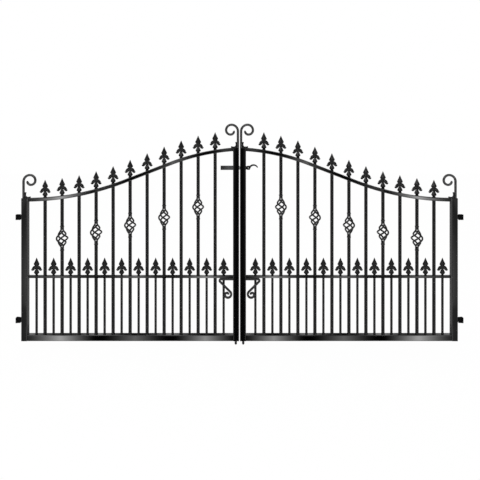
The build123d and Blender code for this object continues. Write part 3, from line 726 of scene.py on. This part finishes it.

# Latch: a flat steel bolt in a short sleeve behind the right meeting stile, drawn by a ring with a
# curled tail, that shoots into a long closed sleeve behind the left one. The long sleeve's colour
# carries a painted reflection that lightens it to grey towards the stile.
SLEEVE_WALL, SLEEVE_CORNER, BORE_CORNER, LIP_DRAW, LIP_EASE = 0.0025, 0.002, 0.0006, 0.001, 0.0006
# The second value is the span along x over which the long sleeve's painted reflection rises to grey.
KEEPER_END, KEEPER_REFLECTION_SPAN = 0.003, (1.286, 1.378)
TONGUE_LENGTH, TONGUE_HALF, TONGUE_CORNER, TONGUE_EDGE, LATCH_HALF = 0.046, 0.0105, 0.002, 0.0008, 0.004
RING_WIDTH, RING_HEIGHT, RING_CORNER, RING_LAP, EYE_RADIUS = 0.021, 0.026, 0.005, 0.003, 0.0035
TAIL_WIDTH, TAIL_CORNER, TAIL_END, TAIL_IN, TAIL_DROP = 0.013, 0.0026, 0.6, 0.005, 0.0035
TAIL_HEADING, TAIL_BEND = math.radians(75), (0.0284, -math.radians(142))
keeper_low, keeper_high = node_corners("left_latch_keeper")
short_low, short_high = node_corners("right_latch_guide")
SLEEVE_DEPTH, SLEEVE_HEIGHT = (keeper_high - keeper_low)[1:]
SLEEVE_Y, LATCH_Z = ((keeper_low + keeper_high) / 2)[1:]
TONGUE_X = node_corners("latch_bolt")[0][0]


def sleeve(x0, x1, closed_end=0.0):
    """Rectangular sleeve walked in a loop from its bore round the mouth and along the outside; with
    a closed end the bore stops short of it."""
    outer = rounded(SLEEVE_DEPTH, SLEEVE_HEIGHT, SLEEVE_CORNER)
    lip = rounded(SLEEVE_DEPTH - LIP_DRAW, SLEEVE_HEIGHT - LIP_DRAW, SLEEVE_CORNER)
    bore = rounded(SLEEVE_DEPTH - 2 * SLEEVE_WALL, SLEEVE_HEIGHT - 2 * SLEEVE_WALL, BORE_CORNER)
    profiles = [bore, bore, lip, outer, outer, lip]
    places = [x0 + closed_end, x1, x1, x1 - LIP_EASE, x0 + LIP_EASE, x0]
    grid = np.stack([np.column_stack([np.full(len(p), x), p[:, 0] + SLEEVE_Y, p[:, 1] + LATCH_Z])
                     for p, x in zip(profiles, places)])
    return grid, closed_end == 0.0


def latch_ring(x):
    """A rounded plate with a round eye, its wall walked in a loop from the eye out."""
    outer = rounded(RING_WIDTH, RING_HEIGHT, RING_CORNER, 8)
    a = np.arctan2(outer[:, 1], outer[:, 0])
    hole, small = EYE_RADIUS * np.column_stack([np.cos(a), np.sin(a)]), outer * 0.94
    loop = [hole, hole, small, outer, outer, small]
    deep = LATCH_HALF * np.array([1.0, -1.0, -1.0, -0.8, 0.8, 1.0])
    return np.stack([np.column_stack([x + p[:, 0], np.full(len(p), SLEEVE_Y + d), LATCH_Z + p[:, 1]])
                     for p, d in zip(loop, deep)]), True


def latch_tail(x):
    """A rounded bar carried round one bend from the ring, tapering to a blunt tip."""
    px, pz, pa = walk(x, LATCH_Z - TAIL_DROP, TAIL_HEADING, [TAIL_BEND], fine=math.radians(4))
    taper = np.linspace(1.0, TAIL_END, len(px))[:, None] * blunt(len(px), 5)
    return carried(px, pz, pa, rounded(TAIL_WIDTH, 2 * LATCH_HALF, TAIL_CORNER), SLEEVE_Y, taper), False


# The long sleeve's coat carries a painted reflection, lighter grey towards the stile.
keeper_coat = coat("keeper_coat", (0.0040, 0.0040, 0.0042), 0.2, 0.0012, sheen=0.35, reflection_span=KEEPER_REFLECTION_SPAN)
dressed("left_latch_keeper_sleeve", [sleeve(keeper_low[0], keeper_high[0], KEEPER_END)], keeper_coat,
        "left_leaf", "left_latch_keeper")
dressed("right_latch_guide_sleeve", [sleeve(short_low[0], short_high[0])], hardware_coat,
        "right_leaf", "right_latch_guide")
ring_start = TONGUE_X + TONGUE_LENGTH
tongue = slab(box_outline(TONGUE_X, ring_start + RING_LAP, LATCH_Z - TONGUE_HALF, LATCH_Z + TONGUE_HALF,
                          TONGUE_CORNER), SLEEVE_Y - LATCH_HALF, SLEEVE_Y + LATCH_HALF, TONGUE_EDGE)
latch_irons = [tongue, latch_ring(ring_start + RING_WIDTH / 2), latch_tail(ring_start + RING_WIDTH - TAIL_IN)]
dressed("latch_bolt_iron", latch_irons, hardware_coat, "latch", "latch_bolt")

# Studio: a white floor and white surround that keep a faint shadow, lit evenly from above and in
# front. In the gloss of the coat the surround shows a row of soft upright light panels.
FLOOR_LOW, FLOOR_HIGH, FLOOR_Z = (-14.0, -14.0), (17.0, 14.0), BOLT_FOOT - 0.003
PAPER_WHITE, PURE_WHITE = (0.82, 0.82, 0.82, 1.0), (1.0, 1.0, 1.0, 1.0)
PAPER_GLOW, PAPER_SHARE = 1.02, 0.95

(x0, y0), (x1, y1) = FLOOR_LOW, FLOOR_HIGH
floor_mesh = bpy.data.meshes.new("studio_floor")
floor_mesh.from_pydata([(x0, y0, FLOOR_Z), (x1, y0, FLOOR_Z), (x1, y1, FLOOR_Z), (x0, y1, FLOOR_Z)],
                       [], [(0, 1, 2, 3)])
floor = bpy.data.objects.new("studio_floor", floor_mesh)
bpy.context.scene.collection.objects.link(floor)
floor.visible_glossy = False
paper = bpy.data.materials.new("studio_paper")
paper.use_nodes = True
paper.node_tree.nodes.clear()
tree = Tone(paper.node_tree)
seen = tree.add("ShaderNodeLightPath", output=0)
matt = tree.add("ShaderNodeBsdfDiffuse", inputs={"Color": PAPER_WHITE})
glow = tree.add("ShaderNodeEmission", inputs={"Color": PURE_WHITE, "Strength": PAPER_GLOW})
sheet = tree.add("ShaderNodeMixShader", inputs={0: seen * PAPER_SHARE, 1: matt, 2: glow})
tree.add("ShaderNodeOutputMaterial", inputs={"Surface": sheet})
floor_mesh.materials.append(paper)

# Each panel is a strip of bearing, dark at both edges and bright in its middle, PANEL degrees from
# edge to middle. Three stand either side of the gate's middle, and those in front are the brighter.
PANEL, PANEL_FLOOR, PANEL_FALL = 4.2, 0.07, 2.0
FIRST_BRIGHT, SECOND_LESS, THIRD_MORE, THIRD_DIMMED = 4.9, 2.8, 4.3, 5.0
BEHIND_BRIGHT, BEHIND_DIMMED, HIGH_DIMMED = 1.1, 0.8, 0.55
SIDE_GLOW, DARKEST, BELOW_GLOW, PLAIN_LIGHT = 0.25, 0.004, 0.9, 0.6

world = bpy.data.worlds.new("studio_surround")
bpy.context.scene.world = world
world.use_nodes = True
world.node_tree.nodes.clear()
tree = Tone(world.node_tree)
view = tree.add("ShaderNodeTexCoord", output=0)
parts = tree.add("ShaderNodeSeparateXYZ", inputs={0: view}).socket.node
east, north, up = (Tone(world.node_tree, parts.outputs[k]) for k in range(3))
bearing = tree.sum("ABSOLUTE", tree.sum("ARCTAN2", east, tree.sum("ABSOLUTE", north))) * (180 / math.pi)
front = tree.sum("LESS_THAN", north, 0.0)
behind = 1.0 - front

# Steeply up behind the gate, and nearly level or higher in front of it, bright and dark change
# places.
wave = tree.sum("PINGPONG", bearing * (1 / PANEL) + behind * up.ramp(0.31, 0.345), 1.0)
high = up.ramp(-0.19, -0.14) * bearing.ramp(0.5, 2.5) * bearing.ramp(16.0, 17.5, 1.0, 0.0) * front
wave = wave + high * (1.0 - wave * 2.0)

# The three differ in brightness, and the third is much dimmer at the slant of the middle rail.
second, third, outside = (tree.sum("GREATER_THAN", bearing, PANEL * k) for k in (2, 4, 6))
slant = tree.sum("ABSOLUTE", up)
dimmed = slant.ramp(0.21, 0.24) * slant.ramp(0.30, 0.33, 1.0, 0.0) * third
bright = FIRST_BRIGHT - second * SECOND_LESS + third * THIRD_MORE - dimmed * THIRD_DIMMED
bright = bright * front * (1.0 - high * HIGH_DIMMED)
bright = bright + behind * (BEHIND_BRIGHT - dimmed * BEHIND_DIMMED)
panels = (wave.ramp(PANEL_FLOOR, 1.0) ** PANEL_FALL) * bright * (1.0 - outside) + outside * SIDE_GLOW
panels = panels + bearing.ramp(19.0, 23.0) * SIDE_GLOW + DARKEST
below = up.ramp(-0.70, -0.50, 1.0, 0.0)
panels = panels * (1.0 - below) + below * BELOW_GLOW

# Only the gloss shows the panels: the camera sees white, and other light comes evenly all round.
gloss = tree.add("ShaderNodeLightPath", output=3)
camera_ray = tree.add("ShaderNodeLightPath", output=0)
light = (1.0 - gloss) * PLAIN_LIGHT + gloss * panels
strength = camera_ray + (1.0 - camera_ray) * light
surround = tree.add("ShaderNodeBackground", inputs={"Color": PURE_WHITE, "Strength": strength})
tree.add("ShaderNodeOutputWorld", inputs={"Surface": surround})

key_data = bpy.data.lights.new("studio_key", "AREA")
key_data.shape, key_data.size, key_data.size_y, key_data.energy = "RECTANGLE", 4.0, 2.0, 60
key = bpy.data.objects.new("studio_key", key_data)
key.location = (GATE_CENTRE - 1.4, -3.2, 4.0)
key.rotation_euler = (math.radians(42), 0.0, math.radians(-18))
bpy.context.scene.collection.objects.link(key)

# Camera: level and square on to the middle of the gate, at the height of the upper finials, with
# the lens shifted down so that the gate lies in the middle of the picture.
CAMERA_DISTANCE, CAMERA_HEIGHT = 2.9505, 1.1564
SENSOR, LENS, SHIFT_ACROSS, SHIFT_UP = 36.0, 35.0, 0.001, -0.2146

lens_data = bpy.data.cameras.new("front_camera")
lens_data.sensor_width, lens_data.lens = SENSOR, LENS
lens_data.shift_x, lens_data.shift_y = SHIFT_ACROSS, SHIFT_UP
camera = bpy.data.objects.new("front_camera", lens_data)
camera.location = (GATE_CENTRE, -CAMERA_DISTANCE, CAMERA_HEIGHT)
camera.rotation_euler = (math.radians(90), 0.0, 0.0)
bpy.context.scene.collection.objects.link(camera)
bpy.context.scene.camera = camera
bpy.context.scene.view_settings.view_transform = "Standard"
